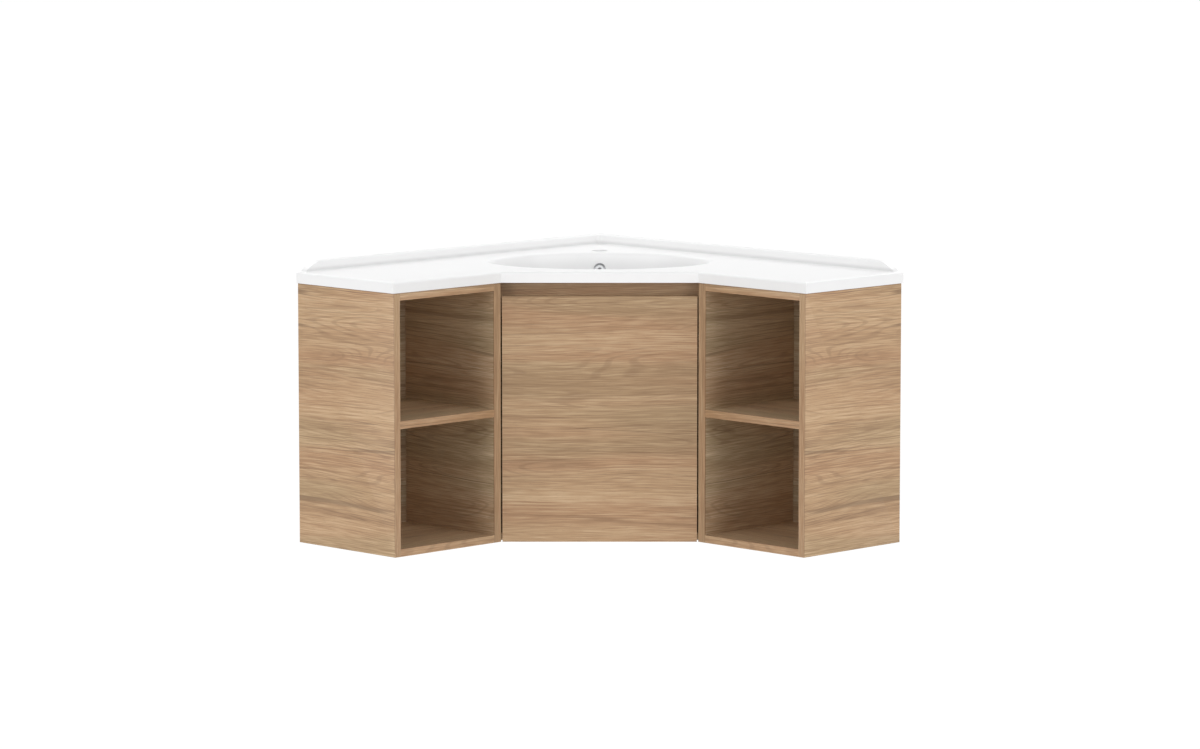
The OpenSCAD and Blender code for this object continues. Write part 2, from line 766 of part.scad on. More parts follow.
// Deck, upstand and bowl are cast in one. They are drawn apart, and meet where the cove ends and on an
// oval outside the bowl's lip.
module vanity_top() color(white) translate([0, 0, cabinet_h]) difference() {
    union() {
        on_walls() round_ended() deck_section(top_depth);
        centre_deck();
    }
    on_walls() board([-over, top_run + over], [-over, strip_w], [-over, deck_t + over]);
    oval() translate([0, -deck_t - over]) square([rim_r, deck_t + 2 * over]);
    translate([0, -tap_y, -over]) cylinder(d = tap_hole_d, h = deck_t + 2 * over);
}

module upstand() color(white) translate([0, 0, cabinet_h]) {
    on_walls() {
        round_ended() translate([-strip_w, 0]) square([strip_w, deck_t]);
        difference() {
            run_along(upstand_run) upstand_section();
            falling_end();
        }
    }
    corner_cove();
}

module rim_section() translate([0, -deck_t]) square([rim_r, deck_t]);

module bowl() color(white) translate([0, 0, cabinet_h]) difference() {
    union() {
        oval() {
            rim_section();
            shell_section();
        }
        back_slice(channel_w + 2 * channel_wall) duct_section(duct_in, duct_out, overflow_top - channel_wall);
        at_waste(deck_t - hub_bottom) cylinder(r = hub_r, h = hub_bottom - bowl_depth - bowl_wall / 2);
    }
    oval() hollow_section();
    back_slice(channel_w) duct_section(channel_in, channel_out, overflow_top);
    at_overflow() translate([0, 0, -channel_out * squash + channel_gap / 4])
        cylinder(d = overflow_d, h = channel_out);
    at_overflow() translate([0, 0, -spot_depth]) cylinder(r = ring_d / 2 + spot_play, h = lip_r);
    at_waste(deck_t - hub_bottom - over) cylinder(d = waste_hole_d, h = hub_bottom);
    at_waste(deck_t - bowl_depth - flange_t - seal_t) cylinder(r = flange_d / 2 + seat_play, h = bowl_depth / 2);
}

module overflow_ring() color(chrome) translate([0, 0, cabinet_h]) at_overflow()
    translate([0, 0, -spot_depth]) rotate_extrude() {
        bore = overflow_d / 2 - snug - ring_wall;
        translate([bore, -ring_tube_l]) square([ring_wall, ring_tube_l + ring_t / 2]);
        translate([bore, 0]) square([ring_d / 2 - ring_t / 2 - bore, ring_t]);
        translate([ring_d / 2 - ring_t / 2, ring_t / 2]) circle(d = ring_t);
    }

// ---------------------------------------------------------------- waste

module tube(outer_d, inner_d, h) difference() {
    cylinder(d = outer_d, h = h);
    translate([0, 0, -over]) cylinder(d = inner_d, h = h + 2 * over);
}

guide_z = waste_z - guide_depth;

module waste_body() color(chrome) difference() {
    union() {
        at_waste(waste_z - flange_t) tube(flange_d, tail_bore_d, flange_t);
        at_waste(thread_end_z) tube(thread_d, tail_bore_d, waste_z - flange_t / 2 - thread_end_z);
        at_waste(tail_end_z) tube(tail_d, tail_bore_d, thread_end_z + thread_past_nut / 2 - tail_end_z);
        at_waste(guide_z - guide_h) intersection() {
            cylinder(r = thread_d / 2 - guide_play, h = guide_h);
            union() {
                translate([-thread_d / 2, -guide_w / 2, 0]) cube([thread_d, guide_w, guide_h]);
                cylinder(r = cartridge_r + guide_boss_wall, h = guide_h);
            }
        }
    }
    at_waste(guide_z - guide_h - over) cylinder(r = cartridge_r + cartridge_wall_play, h = guide_h + 2 * over);
    at_waste(waste_z - (channel_in + channel_out) / 2 - window_h / 2)
        for (turn = [0, 90]) rotate([0, 0, turn])
            translate([-thread_d / 2 - over, -window_w / 2, 0]) cube([thread_d + 2 * over, window_w, window_h]);
}

module waste_flange_seal() color(grey_rubber)
    at_waste(waste_z - flange_t - seal_t) tube(flange_d - 2 * seal_in, waste_hole_d + 2 * seal_in, seal_t);

module waste_washer() color(grey_rubber)
    at_waste(hub_bottom_z - washer_t) tube(nut_d - 2 * washer_in, thread_d + 2 * snug, washer_t);

module waste_back_nut() color(chrome) at_waste(nut_bottom_z) difference() {
    cylinder(d = nut_d, h = nut_t, $fn = 6);
    translate([0, 0, -over]) cylinder(d = thread_d + 2 * snug, h = nut_t + 2 * over);
}

module waste_cartridge() color(steel)
    at_waste(guide_z - cartridge_l) tube(2 * cartridge_r, stem_d + 2 * pin_play, cartridge_l);

plug_z = waste_z + plug_lift;

module waste_plug() color(chrome) at_waste(plug_z) {
    bevel_r = plug_d / 2 - plug_edge;
    translate([0, 0, plug_seal_t]) cylinder(r1 = plug_d / 2, r2 = bevel_r, h = plug_t / 3);
    translate([0, 0, plug_seal_t + plug_t / 3]) cylinder(r1 = bevel_r, r2 = bevel_r - plug_bevel, h = plug_t * 2 / 3);
    translate([0, 0, -stem_l]) cylinder(d = stem_d, h = stem_l + plug_seal_t + plug_t / 2);
}

module waste_plug_seal() color(grey_rubber)
    at_waste(plug_z) tube(plug_d - 2 * plug_seal_in, stem_d + 2 * snug, plug_seal_t);

// ---------------------------------------------------------------- pieces

end_panel(-1);  // left_end_panel
inner_side(-1);  // left_inner_side
module_board(-1, cabinet_h - board_t);  // left_top_board
module_board(-1, shelf_z);  // left_shelf
module_board(-1, 0);  // left_bottom_board
back_panel(-1);  // left_back_panel
wall_rails(-1);  // left_wall_rails
module_dowels(-1);  // left_dowels
filler_strips(-1);  // left_filler_strips
tie_screws(-1);  // left_tie_screws
end_panel(1);  // right_end_panel
inner_side(1);  // right_inner_side
module_board(1, cabinet_h - board_t);  // right_top_board
module_board(1, shelf_z);  // right_shelf
module_board(1, 0);  // right_bottom_board
back_panel(1);  // right_back_panel
wall_rails(1);  // right_wall_rails
module_dowels(1);  // right_dowels
filler_strips(1);  // right_filler_strips
tie_screws(1);  // right_tie_screws
cabinet_side(-1);  // cabinet_left_side
cabinet_right_side();
cabinet_bottom();
cabinet_back(-1);  // cabinet_left_back_panel
cabinet_back(1);  // cabinet_right_back_panel
cabinet_rail(-1, cabinet_h - rail_h);  // cabinet_left_upper_rail
cabinet_rail(1, cabinet_h - rail_h);  // cabinet_right_upper_rail
cabinet_rail(-1, board_t);  // cabinet_left_lower_rail
cabinet_rail(1, board_t);  // cabinet_right_lower_rail
finger_rail();
cabinet_dowels();
door();
door_buffers();
translate([0, 0, hinge_zs[1]]) hinge_cup();  // upper_hinge_cup
translate([0, 0, hinge_zs[0]]) hinge_cup();  // lower_hinge_cup
color(steel) at_hinges() pin_at(cup_pin, cup_pin_d / 2, cup_pin_l);  // hinge_cup_pins
at_hinges() hinge_cup_screw_pair();  // hinge_cup_screws
translate([0, 0, hinge_zs[1]]) hinge_link();  // upper_hinge_link
translate([0, 0, hinge_zs[0]]) hinge_link();  // lower_hinge_link
translate([0, 0, hinge_zs[1]]) hinge_arm();  // upper_hinge_arm
translate([0, 0, hinge_zs[0]]) hinge_arm();  // lower_hinge_arm
color(steel) at_hinges() pin_at(arm_pin, arm_pin_d / 2, arm_pin_l);  // hinge_arm_pins
at_hinges() hinge_arm_screw();  // hinge_arm_screws
translate([0, 0, hinge_zs[1]]) hinge_plate();  // upper_hinge_plate
translate([0, 0, hinge_zs[0]]) hinge_plate();  // lower_hinge_plate
at_hinges() hinge_plate_screw_pair();  // hinge_plate_screws
vanity_top();
upstand();
bowl();
overflow_ring();
waste_body();
waste_flange_seal();
waste_washer();
waste_back_nut();
waste_cartridge();
waste_plug();
waste_plug_seal();
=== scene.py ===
import json
import math

import bpy
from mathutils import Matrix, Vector

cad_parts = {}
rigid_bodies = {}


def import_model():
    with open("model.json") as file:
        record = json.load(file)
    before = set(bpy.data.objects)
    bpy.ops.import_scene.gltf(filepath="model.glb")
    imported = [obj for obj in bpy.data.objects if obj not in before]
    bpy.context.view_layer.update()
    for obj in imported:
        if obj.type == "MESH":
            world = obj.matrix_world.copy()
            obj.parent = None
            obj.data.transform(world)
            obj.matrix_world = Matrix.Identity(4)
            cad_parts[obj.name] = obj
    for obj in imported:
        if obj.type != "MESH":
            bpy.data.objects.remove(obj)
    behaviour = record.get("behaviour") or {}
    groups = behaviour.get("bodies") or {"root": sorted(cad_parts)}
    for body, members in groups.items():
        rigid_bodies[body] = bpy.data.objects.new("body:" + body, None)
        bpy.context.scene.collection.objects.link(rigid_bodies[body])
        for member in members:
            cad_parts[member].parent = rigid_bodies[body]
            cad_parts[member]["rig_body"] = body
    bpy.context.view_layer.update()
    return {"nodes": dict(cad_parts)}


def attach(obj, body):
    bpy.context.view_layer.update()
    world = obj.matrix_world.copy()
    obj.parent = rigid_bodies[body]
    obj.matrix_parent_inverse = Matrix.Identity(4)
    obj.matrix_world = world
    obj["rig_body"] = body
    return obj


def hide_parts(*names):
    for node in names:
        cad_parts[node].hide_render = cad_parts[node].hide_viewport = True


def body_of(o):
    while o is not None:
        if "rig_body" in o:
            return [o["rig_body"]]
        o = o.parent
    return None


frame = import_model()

nodes = frame["nodes"]

MM = 0.001

# A module's boards are described in the frame of its wall, in metres: X runs along the wall, away
# from the room's corner, Y towards the wall, which is at 0, and Z up.
WALL_TURN = math.radians(45)
MODULE_FRONT = 0.297
# where, along X, the end panel's inner face with painted shade ends
END_PANEL_SHADE_UNTIL = 0.887
BOARDS_TOP = 0.55
DECK_TOP = 0.573


# ------------------------------------------------------------------ nodes

WHITE = (1, 1, 1, 1)


def colour(red, green, blue):
    """A colour as a screen shows it, 0 to 255, made linear."""
    def linear(part):
        part /= 255
        return part / 12.92 if part <= 0.04045 else ((part + 0.055) / 1.055) ** 2.4
    return (linear(red), linear(green), linear(blue), 1)


def grey(level):
    return (level, level, level, 1)


def socket_of(sockets, key):
    """A socket by its name, or by its identifier where several have the same name."""
    return next(socket for socket in sockets if key in (socket.identifier, socket.name))


class Value:
    """A socket that takes part in sums."""

    def __init__(self, tree, socket):
        self.tree = tree
        self.socket = socket

    def sum(self, operation, *values):
        return self.tree.node("ShaderNodeMath", {"operation": operation}, *values)

    def __add__(self, other): return self.sum("ADD", self, other)
    def __radd__(self, other): return self.sum("ADD", other, self)
    def __sub__(self, other): return self.sum("SUBTRACT", self, other)
    def __rsub__(self, other): return self.sum("SUBTRACT", other, self)
    def __mul__(self, other): return self.sum("MULTIPLY", self, other)
    def __rmul__(self, other): return self.sum("MULTIPLY", other, self)
    def __gt__(self, other): return self.sum("GREATER_THAN", self, other)
    def __lt__(self, other): return self.sum("LESS_THAN", self, other)
    def __abs__(self): return self.sum("ABSOLUTE", self)


class Tree:
    """A tree of nodes, built up from nothing."""

    def __init__(self, graph):
        self.graph = graph
        self.graph.nodes.clear()

    def feed(self, socket, value):
        """Links a value to a socket, or sets the socket to a plain number, vector or colour."""
        if isinstance(value, Value):
            self.graph.links.new(value.socket, socket)
        else:
            socket.default_value = value

    def node(self, kind, settings=None, *values, out=None, **named):
        """Adds a node: first its settings, then what goes into its sockets, in order or by name."""
        made = self.graph.nodes.new(kind)
        for key, value in (settings or {}).items():
            setattr(made, key, value)
        for socket, value in zip(made.inputs, values):
            self.feed(socket, value)
        for key, value in named.items():
            self.feed(socket_of(made.inputs, key), value)
        if not made.outputs:
            return None
        return Value(self, socket_of(made.outputs, out) if out else made.outputs[0])

    def seen(self):
        """1 for what the camera sees, also by way of metal or glass, and 0 for light on the object."""
        rays = self.node("ShaderNodeLightPath").socket.node.outputs
        return sum(Value(self, rays[f"Is {kind} Ray"]) for kind in ("Camera", "Glossy", "Transmission"))


class Finish(Tree):
    """A material, built up node by node."""

    def __init__(self, name):
        self.material = bpy.data.materials.new(name)
        self.material.use_nodes = True
        super().__init__(self.material.node_tree)

    def surface(self, **sockets):
        """Ends the material with a shader that has these values in its sockets."""
        named = {key.replace("_", " "): value for key, value in sockets.items()}
        shader = self.node("ShaderNodeBsdfPrincipled", **named)
        self.node("ShaderNodeOutputMaterial", None, shader)
        return self.material

    def place(self, kind="Object"):
        return self.node("ShaderNodeTexCoord", out=kind)

    def in_wall_frame(self, vector, turn, flip):
        """A vector in the frame of one wall. The left wall's frame is the right one's mirror image."""
        return self.node("ShaderNodeMapping", Vector=vector, Rotation=(0, 0, turn),
                         Scale=(-1 if flip else 1, 1, 1))

    def parts(self, vector):
        split = self.node("ShaderNodeSeparateXYZ", None, vector).socket.node
        return [Value(self, socket) for socket in split.outputs]

    def vector(self, x, y, z):
        return self.node("ShaderNodeCombineXYZ", None, x, y, z)

    def noise(self, vector, scale, detail):
        return self.node("ShaderNodeTexNoise", Vector=vector, Scale=scale, Detail=detail)

    def smooth(self, value, start, end):
        """A soft step from 0 at the start to 1 at the end. The start may be the larger of the two."""
        return self.node("ShaderNodeMapRange", {"interpolation_type": "SMOOTHSTEP"}, value, start, end)

    def mix(self, factor, first, second):
        """A colour with another laid over it."""
        return self.node("ShaderNodeMix", {"data_type": "RGBA"}, out="Result_Color",
                         Factor_Float=factor, A_Color=first, B_Color=second)

    def pick(self, factor, first, second):
        """A vector, or another one where the factor is 1."""
        return self.node("ShaderNodeMix", {"data_type": "VECTOR"}, out="Result_Vector",
                         Factor_Float=factor, A_Vector=first, B_Vector=second)

    def tinted(self, shade, tint):
        return self.node("ShaderNodeVectorMath", {"operation": "MULTIPLY"}, shade, tint)

    def bump(self, height, distance, strength):
        return self.node("ShaderNodeBump", Strength=strength, Distance=distance, Height=height)


# ------------------------------------------------------------------ camera, floor and light

LENS = 151.83
CAMERA_PLACE = (0.0007, -11.1917, 1.6557)
CAMERA_DIP = 7.015

# place, diameter and watts: two from the sides for the wood, two from behind for the deck
LAMPS = {
    "left lamp": ((-4.1, -4.4, 1.7), 3.0, 91),
    "right lamp": ((4.1, -4.4, 1.7), 3.0, 91),
    "left top lamp": ((-2.0, 2.2, 3.5), 2.0, 49),
    "right top lamp": ((2.0, 2.2, 3.5), 2.0, 49),
}
LAMP_AIM = (0, -0.5, 0.3)

SKY_LIGHT = 0.535
FLOOR_HEIGHT = -0.85
FLOOR_GLOW = 1.07
FLOOR_GLOW_SHARE = 0.9


def set_camera():
    """The photograph's viewpoint: straight on, from a little above."""
    data = bpy.data.cameras.new("camera")
    data.sensor_width = 36
    data.lens = LENS
    camera = bpy.data.objects.new("camera", data)
    bpy.context.scene.collection.objects.link(camera)
    camera.location = CAMERA_PLACE
    camera.rotation_euler = (math.radians(90 - CAMERA_DIP), 0, 0)
    bpy.context.scene.camera = camera


def set_lamps():
    """Round soft lamps that all look at the middle of the unit."""
    for name, (place, size, watts) in LAMPS.items():
        data = bpy.data.lights.new(name, "AREA")
        data.shape = "DISK"
        data.size = size
        data.energy = watts
        lamp = bpy.data.objects.new(name, data)
        bpy.context.scene.collection.objects.link(lamp)
        lamp.location = place
        lamp.rotation_euler = (Vector(LAMP_AIM) - Vector(place)).to_track_quat("-Z", "Y").to_euler()


def set_world():
    """Even light from all round, which the camera sees as white."""
    world = bpy.data.worlds.new("studio")
    bpy.context.scene.world = world
    world.use_nodes = True
    t = Tree(world.node_tree)
    sky = t.node("ShaderNodeBackground", None, WHITE, SKY_LIGHT)
    backdrop = t.node("ShaderNodeBackground", None, WHITE, 1.0)
    t.node("ShaderNodeOutputWorld", None, t.node("ShaderNodeMixShader", None, t.seen(), sky, backdrop))


def set_floor():
    """A pale floor that glows to the camera, and keeps a little of the unit's shadow."""
    bpy.ops.object.select_all(action="DESELECT")
    bpy.ops.mesh.primitive_plane_add(size=60, location=(0, 10, FLOOR_HEIGHT))
    floor = bpy.context.object
    floor.name = "floor"
    f = Finish("floor")
    paint = f.node("ShaderNodeBsdfPrincipled", **{"Base Color": grey(0.86), "Roughness": 0.9})
    glow = f.node("ShaderNodeEmission", None, WHITE, FLOOR_GLOW)
    blend = f.node("ShaderNodeMixShader", None, f.seen() * FLOOR_GLOW_SHARE, paint, glow)
    f.node("ShaderNodeOutputMaterial", None, blend)
    floor.data.materials.append(f.material)


# ------------------------------------------------------------------ oak

TAN_OAK = colour(194, 158, 120)
PINK_OAK = colour(188, 148, 111)
GREEN_OAK = colour(174, 147, 110)
LIGHT_OAK = colour(226, 196, 158)
BROWN_OAK = colour(138, 105, 76)
PORE_OAK = colour(120, 92, 66)

# what the colour inside the open modules is multiplied by: painted light, paler and cooler against
# the warm light bounced between the boards; and the inner face of an end panel: painted shade
INSIDE_LIGHT_TINT = (1.05, 1.18, 1.32)
INNER_FACE_SHADE_TINT = (0.72, 0.74, 0.76)

# the figures in the grain: length and width in millimetres, and place in the noise
BROAD_LEAN = (900, 300, 0.0)
SMALL_LEAN = (260, 90, 1.3)
PINK_DRIFT = (1500, 110, 3.1)
GREEN_DRIFT = (620, 85, 5.7)
RINGS = (700, 85, 7.3)
RING_PATCHES = (300, 60, 9.9)
VEINS = (1500, 34, 11.0)
VEIN_STRETCHES = (330, 26, 12.5)
HAIRS = (1100, 21, 15.8)
HAIR_STRETCHES = (360, 34, 16.6)
PORES = (17, 0.8, 6.1)

# the lighter and darker marks, the thin ones short and the broad ones long, each with its weight
MARKS = (
    ((45, 1.3, 4.6), 1.3),
    ((250, 2.5, 2.2), 0.8),
    ((700, 7, 8.2), 0.48),
    ((1500, 20, 0.9), 0.55),
    ((2600, 56, 0.4), 0.65),
)
RELIEF_MARK = 2

# how much of the darker colour each kind of line takes
RING_STRENGTH = 0.3
HAIR_STRENGTH = 0.42
VEIN_STRENGTH = 0.58
PORE_STRENGTH = 0.34
GLUE_STRENGTH = 0.7
# a painted shadow line under the deck
DECK_SHADOW_STRENGTH = 0.55

# how far the sine that draws the rings runs on, in radians, while the noise goes from 0 to 1
RING_RUN = 210.0
# the share of a normal along an axis from which a face counts as lying across that axis
FACING = 0.7
# how far apart in the noise the three faces of a board are
FACE_SHIFT = 0.37
# moves each figure across the grain too, so that no two of them change step on the same line
CROSS_SHIFT = 2.3


def oak(name, grain, turn=0.0, flip=False, seed=0.0, front=None, inner=False, top=None,
        shade_dim=1.0, front_shade=1.0, shade_until=None):
    """Oak laminate.

    grain gives, for faces across X, Y and Z of the piece's own frame, the axis that the grain runs
    along. turn and flip say which wall the frame belongs to, and seed is the place in the print.
    front is how far from the wall the front edge banding lies. inner gives the faces inside an open
    module a paler, cooler colour: painted light against the warm light bounced between the boards.
    top is the height of an edge that has a brown painted shadow line under the deck. dim and band are
    how bright the whole piece and its front and back faces are: painted shade. lining is where, along
    X, an end panel's inner face, darker by painted shade, ends.
    """
    f = Finish(name)
    x, y, z = f.parts(f.in_wall_frame(f.place(), turn, flip))
    axes = {"x": x, "y": y, "z": z}
    facing = f.parts(f.in_wall_frame(f.place("Normal"), turn, flip))
    on_side, on_front, on_level = (abs(part) > FACING for part in facing)

    def laid(face, number):
        """Where the print lies on the faces across one axis: along the grain, across it, and depth."""
        along = grain[number]
        across = next(axis for axis in "xyz" if axis not in (face, along))
        return f.vector(axes[along], axes[across], seed + FACE_SHIFT * number)

    spot = f.pick(on_front, laid("x", 0), laid("y", 1))
    spot = f.pick(on_level, spot, laid("z", 2))
    along, across, depth = f.parts(spot)

    def figure(marks, detail=1.0):
        """Noise drawn out along the grain, into marks of about that length and width."""
        length, width, shift = marks
        stretched = f.vector(along * (1000 / length), across * (1000 / width) + shift * CROSS_SHIFT,
                             depth + shift)
        return f.noise(stretched, 1.0, detail)

    def thin_lines(swell, thick, thin):
        """Lines where a swell passes its middle."""
        return f.smooth(abs(swell - 0.5), thick, thin)

    # the grain wanders and leans a little, more in some places than in others
    across = across + (figure(BROAD_LEAN) - 0.5) * 0.055 + (figure(SMALL_LEAN) - 0.5) * 0.005

    # the hue drifts over broad stretches
    shade = f.mix(f.smooth(figure(PINK_DRIFT), 0.42, 0.58), TAN_OAK, PINK_OAK)
    shade = f.mix(f.smooth(figure(GREEN_DRIFT), 0.48, 0.66) * 0.6, shade, GREEN_OAK)

    marks = [figure(mark, 0.0) - 0.5 for mark, weight in MARKS]
    tone = sum(mark * weight for mark, (size, weight) in zip(marks, MARKS))
    shade = f.mix(tone + 0.02, shade, LIGHT_OAK)
    shade = f.mix(-0.02 - tone, shade, BROWN_OAK)

    # growth rings cut at a slant: thin lines that run together in long narrow arches
    rings = f.node("ShaderNodeMath", {"operation": "SINE"}, figure(RINGS) * RING_RUN)
    arches = f.smooth(rings, 0.2, 0.98) * f.smooth(figure(RING_PATCHES), 0.47, 0.6)
    # single dark lines, a hand long, that thin out at their ends, and finer, fainter ones
    veins = thin_lines(figure(VEINS), 0.008, 0.001) * f.smooth(figure(VEIN_STRETCHES), 0.44, 0.56)
    hairs = thin_lines(figure(HAIRS, 0.0), 0.02, 0.004) * f.smooth(figure(HAIR_STRETCHES), 0.42, 0.58)
    pores = f.smooth(figure(PORES), 0.64, 0.74)
    shade = f.mix(arches * RING_STRENGTH, shade, BROWN_OAK)
    shade = f.mix(hairs * HAIR_STRENGTH, shade, BROWN_OAK)
    shade = f.mix(veins * VEIN_STRENGTH, shade, PORE_OAK)
    shade = f.mix(pores * PORE_STRENGTH, shade, PORE_OAK)

    if front is not None:
        # the glue line between a face and the edge banding on its front edge
        from_band = abs(y + (front - 1.1 * MM))
        glue = f.smooth(from_band, 0.9 * MM, 0.2 * MM) * (1 - on_front)
        shade = f.mix(glue * GLUE_STRENGTH, shade, PORE_OAK)
        if inner:
            # neither the front edge, nor the faces to the wall, nor the underside of the lowest board
            inside = (y > 2 * MM - front) * (facing[1] < FACING) * (z > MM)
            # painted light: these faces are made paler and cooler against the warm light bounced between
            # the boards
            shade = f.mix(inside, shade, f.tinted(shade, INSIDE_LIGHT_TINT))
    if top is not None:
        # painted shadow: a brown line just under the deck
        deck_shadow_line = f.smooth(z, top - 3.2 * MM, top - 1.6 * MM)
        shade = f.mix(deck_shadow_line * DECK_SHADOW_STRENGTH, shade, PORE_OAK)
    if shade_until is not None:
        # painted shade: the end panel's inner face, which looks into the module, is darkened
        shade = f.mix((x < shade_until) * on_side, shade, f.tinted(shade, INNER_FACE_SHADE_TINT))
    # painted shade: the whole piece darkened, then its front and back faces
    if shade_dim != 1:
        shade = f.tinted(shade, (shade_dim, shade_dim, shade_dim))
    if front_shade != 1:
        shade = f.mix(on_front, shade, f.tinted(shade, (front_shade, front_shade, front_shade)))

    relief = marks[RELIEF_MARK] * 0.4 - pores * 0.5
    return f.surface(Base_Color=shade, Roughness=0.5 + marks[RELIEF_MARK] * 0.12,
                     Normal=f.bump(relief, 0.12 * MM, 0.5))


# ------------------------------------------------------------------ other finishes

def cast_white(name, shape="deck"):
    """Satin white cast mineral. It is a shade greyer down in the bowl and along the foot of the upstand, as
    painted shade.
    """
    f = Finish(name)
    place = f.place()
    z = f.parts(place)[2]
    wave = f.noise(place, 9.0, 1.0)
    shade = f.mix(wave, grey(0.935), grey(0.95))
    if shape == "bowl":
        # painted shade: the bowl goes greyer with depth below the deck
        shade = f.mix(f.smooth(z, DECK_TOP - 36 * MM, DECK_TOP - 1 * MM), grey(0.82), shade)
    if shape == "upstand":
        # painted shade: a dark line along the foot of the upstand, and its face above a little greyer than
        # the deck
        shade = f.mix(f.smooth(z, DECK_TOP, DECK_TOP + 2.5 * MM), shade, grey(0.76))
        shade = f.mix(f.smooth(z, DECK_TOP + 3 * MM, DECK_TOP + 11 * MM), shade, grey(0.915))
    return f.surface(Base_Color=shade, Roughness=0.42 + wave * 0.06)


def plain_metal(name, shade, roughness):
    """Metal with faint smudges."""
    f = Finish(name)
    smudge = f.noise(f.place(), 60.0, 3.0)
    darker = tuple(part * 0.8 for part in shade[:3]) + (1,)
    return f.surface(Base_Color=f.mix(smudge * 0.25, shade, darker), Metallic=1.0,
                     Roughness=roughness + smudge * 0.08, Normal=f.bump(smudge, 0.02 * MM, 0.2))


def plain_rubber(name, shade, roughness):
    """Rubber or plastic with a fine speck."""
    f = Finish(name)
    speck = f.noise(f.place(), 900.0, 2.0)
    return f.surface(Base_Color=f.mix(speck * 0.2, shade, colour(30, 30, 30)), Roughness=roughness,
                     Normal=f.bump(speck, 0.05 * MM, 0.3))


def beech():
    f = Finish("beech")
    flecks = f.noise(f.place(), 300.0, 2.0)
    return f.surface(Base_Color=f.mix(flecks, colour(214, 186, 148), colour(188, 152, 112)), Roughness=0.6)


# ------------------------------------------------------------------ dressing the CAD pieces

# which way the grain runs on faces across X, Y and Z
UPRIGHT = ("y", "z", "y")
LEVEL = ("y", "x", "x")
STANDING = ("z", "z", "y")
DOOR = ("z", "x", "x")

MODULE_BOARDS = {
    "end_panel": UPRIGHT,
    "inner_side": UPRIGHT,
    "top_board": LEVEL,
    "shelf": LEVEL,
    "bottom_board": LEVEL,
    "back_panel": LEVEL,
    "wall_rails": LEVEL,
    "filler_strips": STANDING,
}
# boards whose inner faces take painted light, boards with a painted shadow line at their top under
# the deck, and thin boards
INNER = ("inner_side", "top_board", "shelf", "bottom_board", "back_panel")
SHADOWED_UNDER_DECK = ("end_panel", "inner_side", "top_board", "filler_strips")
THIN = ("back_panel", "wall_rails")
# painted shade: how bright whole boards are, and how bright their front and back faces are
SHADE_DIM = {"end_panel": 0.96, "filler_strips": 0.84, "back_panel": 0.72}
FRONT_SHADE = {"inner_side": 0.81, "end_panel": 0.89}
UNSHADED_FRONTS = ("filler_strips", "back_panel", "wall_rails")
OTHER_FRONT_SHADE = 0.93

# the centre cabinet's boards: node, name of the finish, grain, place in the print, and the rounding
# of the edges in millimetres
CABINET_BOARDS = (
    ("cabinet_{}_side", "oak cabinet {} side", UPRIGHT, 15.3, 0.3),
    ("cabinet_{}_back_panel", "oak cabinet {} back", LEVEL, 16.4, 0.2),
    ("cabinet_{}_upper_rail", "oak {} upper rail", LEVEL, 17.1, 0.2),
    ("cabinet_{}_lower_rail", "oak {} lower rail", LEVEL, 18.9, 0.2),
)
SIDES = (("right", False), ("left", True))


def dress(node, material, soften=0.0):
    """Gives a CAD node its finish, and rounds its edges by that many millimetres."""
    piece = nodes[node]
    piece.data.materials.clear()
    piece.data.materials.append(material)
    if soften:
        weld = piece.modifiers.new("weld", "WELD")
        weld.merge_threshold = 0.01 * MM
        edge = piece.modifiers.new("edge", "BEVEL")
        edge.width = soften * MM
        edge.segments = 2
        edge.limit_method = "ANGLE"
        edge.angle_limit = math.radians(35)
        edge.harden_normals = False


def dress_modules():
    for side, flip in SIDES:
        for number, (part, grain) in enumerate(MODULE_BOARDS.items()):
            finish = oak(
                f"oak {side} {part}", grain, WALL_TURN, flip, seed=number * 1.7,
                front=None if grain == STANDING else MODULE_FRONT,
                inner=part in INNER,
                top=BOARDS_TOP if part in SHADOWED_UNDER_DECK else None,
                shade_dim=SHADE_DIM.get(part, 1.0),
                front_shade=1.0 if part in UNSHADED_FRONTS else FRONT_SHADE.get(part, OTHER_FRONT_SHADE),
                shade_until=END_PANEL_SHADE_UNTIL if part == "end_panel" else None,
            )
            dress(f"{side}_{part}", finish, 0.2 if part in THIN else 0.35)
        dress(f"{side}_dowels", MATERIALS["beech"], 0.6)
        dress(f"{side}_tie_screws", MATERIALS["zinc"])


def dress_cabinet():
    for side, flip in SIDES:
        for node, name, grain, seed, soften in CABINET_BOARDS:
            dress(node.format(side), oak(name.format(side), grain, WALL_TURN, flip, seed), soften)
    dress("cabinet_bottom", oak("oak cabinet bottom", LEVEL, seed=20.2), 0.3)
    # painted shade: the finger rail and the door are darker than the other boards
    dress("finger_rail", oak("oak finger rail", DOOR, seed=22.6, shade_dim=0.77), 0.2)
    dress("door", oak("oak door", DOOR, seed=24.4, shade_dim=0.87), 0.5)
    dress("cabinet_dowels", MATERIALS["beech"], 0.6)
    dress("door_buffers", MATERIALS["clear"], 0.8)


def dress_fittings():
    for node in nodes:
        if "hinge" in node:
            dress(node, MATERIALS["nickel"], 0.25)
    for node in ("waste_body", "waste_back_nut", "waste_plug"):
        dress(node, MATERIALS["chrome"], 0.4)
    dress("overflow_ring", MATERIALS["satin steel"], 0.2)
    for node in ("waste_flange_seal", "waste_washer", "waste_plug_seal"):
        dress(node, MATERIALS["rubber"], 0.3)
    dress("waste_cartridge", MATERIALS["grey plastic"], 0.3)


def dress_castings():
    dress("vanity_top", cast_white("white deck"))
    dress("upstand", cast_white("white upstand", "upstand"))
    dress("bowl", cast_white("white bowl", "bowl"))


# ------------------------------------------------------------------ tools for new pieces

def hold(piece):
    """Selects that piece and nothing else."""
    bpy.ops.object.select_all(action="DESELECT")
    piece.select_set(True)
    bpy.context.view_layer.objects.active = piece


def arc(middle, radius, start, end, steps):
    """Points round an arc of an outline, its angles in degrees."""
    turns = [math.radians(start + (end - start) * i / steps) for i in range(steps + 1)]
    return [(middle[0] + radius * math.cos(t), middle[1] + radius * math.sin(t)) for t in turns]


